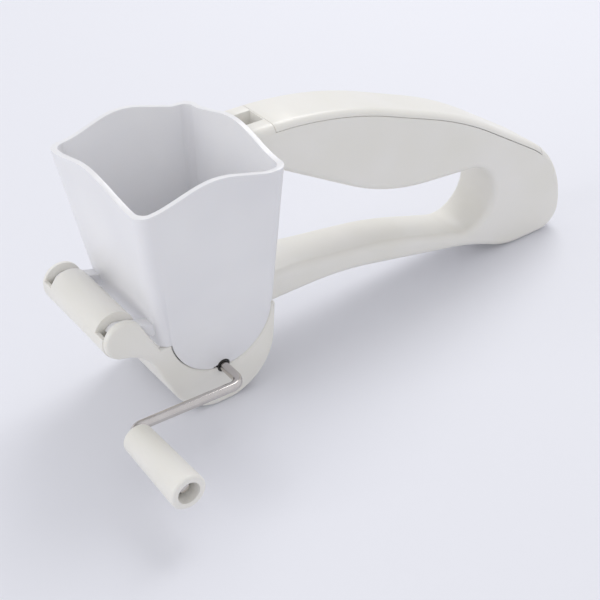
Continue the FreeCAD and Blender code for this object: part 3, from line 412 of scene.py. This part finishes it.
def rowAlongAxle(tree, shape, given):
    # the shape at each place along the axle, each copy turned further than the one before it
    index = addNode(tree, "GeometryNodeInputIndex").outputs[0]
    last = addNode(tree, "ShaderNodeMath", {"operation": "SUBTRACT", 0: given["Count"], 1: 1})
    middle = addNode(tree, "ShaderNodeMath", {"operation": "DIVIDE", 0: last.outputs[0], 1: 2})
    steps = addNode(tree, "ShaderNodeMath", {"operation": "SUBTRACT", 0: index, 1: middle.outputs[0]})
    along = addNode(tree, "ShaderNodeMath", {
        "operation": "MULTIPLY", 0: steps.outputs[0], 1: given["Pitch"]})
    place = addNode(tree, "ShaderNodeCombineXYZ", {"Y": along.outputs[0], "Z": given["Axle Height"]})
    points = addNode(tree, "GeometryNodePoints", {"Count": given["Count"], "Position": place.outputs[0]})
    turned = addNode(tree, "ShaderNodeMath", {"operation": "MULTIPLY", 0: index, 1: given["Stagger"]})
    turn = addNode(tree, "ShaderNodeMath", {
        "operation": "SUBTRACT", 0: given["First Turn"], 1: turned.outputs[0]})
    spin = addNode(tree, "ShaderNodeCombineXYZ", {"Y": turn.outputs[0]})
    row = addNode(tree, "GeometryNodeInstanceOnPoints", {
        "Points": points.outputs[0], "Instance": shape, "Rotation": spin.outputs[0]})
    real = addNode(tree, "GeometryNodeRealizeInstances", {"Geometry": row.outputs[0]})
    painted = addNode(tree, "GeometryNodeSetMaterial", {
        "Geometry": real.outputs[0], "Material": given["Finish"]})
    addNode(tree, "NodeGroupOutput", {"Geometry": painted.outputs[0]})


def discTree(sizes, outline):
    tree, given = startTree("toothedDiscRow", sizes)
    corners = addNode(tree, "ShaderNodeMath", {"operation": "MULTIPLY", 0: given["Teeth"], 1: len(outline)})
    ring = addNode(tree, "GeometryNodeMeshCircle", {"Vertices": corners.outputs[0]})

    # each corner's tooth, and its place in that tooth's outline
    index = addNode(tree, "GeometryNodeInputIndex").outputs[0]
    corner = addNode(tree, "ShaderNodeMath", {"operation": "MODULO", 0: index, 1: len(outline)})
    before = addNode(tree, "ShaderNodeMath", {"operation": "DIVIDE", 0: index, 1: len(outline)})
    tooth = addNode(tree, "ShaderNodeMath", {"operation": "FLOOR", 0: before.outputs[0]})
    places = []
    for column in (0, 1):
        switch = addNode(tree, "GeometryNodeIndexSwitch", {"data_type": "FLOAT"})
        while len(switch.index_switch_items) < len(outline):
            switch.index_switch_items.new()
        tree.links.new(corner.outputs[0], switch.inputs[0])
        for i, point in enumerate(outline):
            switch.inputs[i + 1].default_value = point[column]
        places.append(switch.outputs[0])

    share = addNode(tree, "ShaderNodeMath", {"operation": "ADD", 0: tooth.outputs[0], 1: places[0]})
    pitch = addNode(tree, "ShaderNodeMath", {"operation": "DIVIDE", 0: math.tau, 1: given["Teeth"]})
    angle = addNode(tree, "ShaderNodeMath", {
        "operation": "MULTIPLY", 0: share.outputs[0], 1: pitch.outputs[0]})
    depth = addNode(tree, "ShaderNodeMath", {
        "operation": "MULTIPLY", 0: given["Tooth Depth"], 1: places[1]})
    radius = addNode(tree, "ShaderNodeMath", {"operation": "ADD", 0: given["Radius"], 1: depth.outputs[0]})
    outwards = addNode(tree, "ShaderNodeCombineXYZ", {"X": radius.outputs[0]})
    spot = addNode(tree, "ShaderNodeVectorRotate", {
        "rotation_type": "Z_AXIS", "Vector": outwards.outputs[0], "Angle": angle.outputs[0]})
    toothed = addNode(tree, "GeometryNodeSetPosition", {
        "Geometry": ring.outputs[0], "Position": spot.outputs[0]})

    # the outline and the bore filled as one sheet, then given its thickness
    rim = addNode(tree, "GeometryNodeMeshToCurve", {"Mesh": toothed.outputs[0]})
    bore = addNode(tree, "GeometryNodeCurvePrimitiveCircle", {
        "Resolution": boreSides, "Radius": given["Bore"]})
    both = addNode(tree, "GeometryNodeJoinGeometry")
    for line in (bore, rim):
        tree.links.new(line.outputs[0], both.inputs[0])
    sheet = addNode(tree, "GeometryNodeFillCurve", {"Curve": both.outputs[0]})
    thick = addNode(tree, "GeometryNodeExtrudeMesh", {
        "Mesh": sheet.outputs[0], "Offset Scale": given["Thickness"], "Individual": False})
    under = addNode(tree, "GeometryNodeFlipFaces", {"Mesh": sheet.outputs[0]})
    closed = addNode(tree, "GeometryNodeJoinGeometry")
    for side in (under, thick):
        tree.links.new(side.outputs[0], closed.inputs[0])
    welded = addNode(tree, "GeometryNodeMergeByDistance", {
        "Geometry": closed.outputs[0], "Distance": 1e-6})
    half = addNode(tree, "ShaderNodeMath", {"operation": "MULTIPLY", 0: given["Thickness"], 1: 0.5})
    centred = addNode(tree, "ShaderNodeCombineXYZ", {"Y": half.outputs[0]})
    upright = addNode(tree, "GeometryNodeTransform", {
        "Geometry": welded.outputs[0], "Translation": centred.outputs[0], "Rotation": (math.pi / 2, 0, 0)})
    rowAlongAxle(tree, upright.outputs[0], given)
    return tree


def collarTree(sizes):
    tree, given = startTree("collarRow", sizes)
    across = addNode(tree, "ShaderNodeMath", {"operation": "ADD", 0: given["Radius"], 1: given["Bore"]})
    mean = addNode(tree, "ShaderNodeMath", {"operation": "MULTIPLY", 0: across.outputs[0], 1: 0.5})
    wall = addNode(tree, "ShaderNodeMath", {"operation": "SUBTRACT", 0: given["Radius"], 1: given["Bore"]})
    path = addNode(tree, "GeometryNodeCurvePrimitiveCircle", {
        "Resolution": collarSides, "Radius": mean.outputs[0]})
    section = addNode(tree, "GeometryNodeCurvePrimitiveQuadrilateral", {
        "Width": wall.outputs[0], "Height": given["Length"]})
    rounded = addNode(tree, "GeometryNodeFilletCurve", {
        "mode": "POLY", "Curve": section.outputs[0], "Radius": given["Edge"], "Count": 2})
    ring = addNode(tree, "GeometryNodeCurveToMesh", {
        "Curve": path.outputs[0], "Profile Curve": rounded.outputs[0]})
    upright = addNode(tree, "GeometryNodeTransform", {
        "Geometry": ring.outputs[0], "Rotation": (math.pi / 2, 0, 0)})
    rowAlongAxle(tree, upright.outputs[0], given)
    return tree


def growRow(name, tree, sizes, finish):
    piece = bpy.data.objects.new(name, bpy.data.meshes.new(name))
    bpy.context.scene.collection.objects.link(piece)
    modifier = piece.modifiers.new("row", "NODES")
    modifier.node_group = tree
    for item in tree.interface.items_tree:
        if item.in_out == "INPUT" and item.name in sizes:
            modifier[item.identifier] = sizes[item.name]
        elif item.in_out == "INPUT" and item.name == "Finish":
            modifier[item.identifier] = finish
    bakeModifiers(piece)
    shape = bmesh.new()
    shape.from_mesh(piece.data)
    bmesh.ops.recalc_face_normals(shape, faces=shape.faces)
    shape.to_mesh(piece.data)
    shape.free()
    smoothFaces(piece)
    print("grown", name, len(piece.data.polygons), "faces")
    return piece


discs = growRow("toothedDiscs", discTree(discRow, toothOutline), discRow, discSteel)
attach(discs, "crank")
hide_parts(*["cutter_disc_%d" % (i + 1) for i in range(discRow["Count"])])

collars = growRow("rotorCollars", collarTree(collarRow), collarRow, acetal)
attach(collars, "crank")
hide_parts(*["disc_spacer_%d" % (i + 1) for i in range(collarRow["Count"])])


# studio: a pale floor, an even sky and three soft lamps

studio = {
    "floor": "EAEBF2",
    "floorReach": 4.0,      # metres from the middle to each side
    "floorDrop": 0.0002,    # under the mill's foot, so that the two faces don't coincide
    "lampAim": (0.05, 0, 0.04),
    "sky": "F7F7F9",
    "skyStrength": 0.7,
    "backdrop": "F3F4FA",
    "backdropStrength": 0.95,
    "lamps": {
        # place, width in metres, watts
        "keyLamp": ((0.75, 0.45, 1.1), 0.7, 6.2),
        "frontFill": ((-1.1, 0.1, 0.5), 0.6, 3.0),
        "nearFill": ((-0.2, -1.3, 0.5), 0.8, 0.9),
    },
}


def paleFloor(hexText):
    material, tree = newMaterial("paleTableTop")
    place = addNode(tree, "ShaderNodeTexCoord").outputs["Object"]
    cloud = addNode(tree, "ShaderNodeTexNoise", {"Vector": place, "Scale": perMm(120), "Detail": 2.0})
    rough = addNode(tree, "ShaderNodeMapRange", {
        "Value": cloud.outputs["Fac"], "To Min": 0.51, "To Max": 0.59})
    shader = addNode(tree, "ShaderNodeBsdfPrincipled", {
        "Base Color": toLinear(hexText), "Roughness": rough.outputs["Result"], "Specular IOR Level": 0.2})
    addNode(tree, "ShaderNodeOutputMaterial", {"Surface": shader.outputs["BSDF"]})
    return material


def layFloor(look):
    mesh = bpy.data.meshes.new("tableTop")
    reach = look["floorReach"]
    corners = [(-reach, -reach, 0), (reach, -reach, 0), (reach, reach, 0), (-reach, reach, 0)]
    mesh.from_pydata(corners, [], [(0, 1, 2, 3)])
    mesh.materials.append(paleFloor(look["floor"]))
    floor = bpy.data.objects.new("tableTop", mesh)
    bpy.context.scene.collection.objects.link(floor)
    floor.location.z = -look["floorDrop"]


def lightStudio(look):
    world = bpy.data.worlds.new("evenSky")
    world.use_nodes = True
    bpy.context.scene.world = world
    tree = world.node_tree
    tree.nodes.clear()
    rays = addNode(tree, "ShaderNodeLightPath").outputs
    mirrored = addNode(tree, "ShaderNodeMath", {
        "operation": "MAXIMUM", 0: rays["Is Glossy Ray"], 1: rays["Is Transmission Ray"]})
    shown = addNode(tree, "ShaderNodeMath", {
        "operation": "MAXIMUM", 0: rays["Is Camera Ray"], 1: mirrored.outputs[0]})
    light = addNode(tree, "ShaderNodeBackground", {
        "Color": toLinear(look["sky"]), "Strength": look["skyStrength"]})
    backdrop = addNode(tree, "ShaderNodeBackground", {
        "Color": toLinear(look["backdrop"]), "Strength": look["backdropStrength"]})
    both = addNode(tree, "ShaderNodeMixShader", {
        0: shown.outputs[0], 1: light.outputs[0], 2: backdrop.outputs[0]})
    addNode(tree, "ShaderNodeOutputWorld", {"Surface": both.outputs[0]})
    for name, (place, width, watts) in look["lamps"].items():
        data = bpy.data.lights.new(name, "AREA")
        data.size = width
        data.energy = watts
        lamp = bpy.data.objects.new(name, data)
        bpy.context.scene.collection.objects.link(lamp)
        lamp.location = place
        lamp.rotation_mode = "QUATERNION"
        towards = Vector(look["lampAim"]) - Vector(place)
        lamp.rotation_quaternion = towards.to_track_quat("-Z", "Y")


layFloor(studio)
lightStudio(studio)
bpy.context.scene.view_settings.view_transform = "Standard"
print("studio lit")
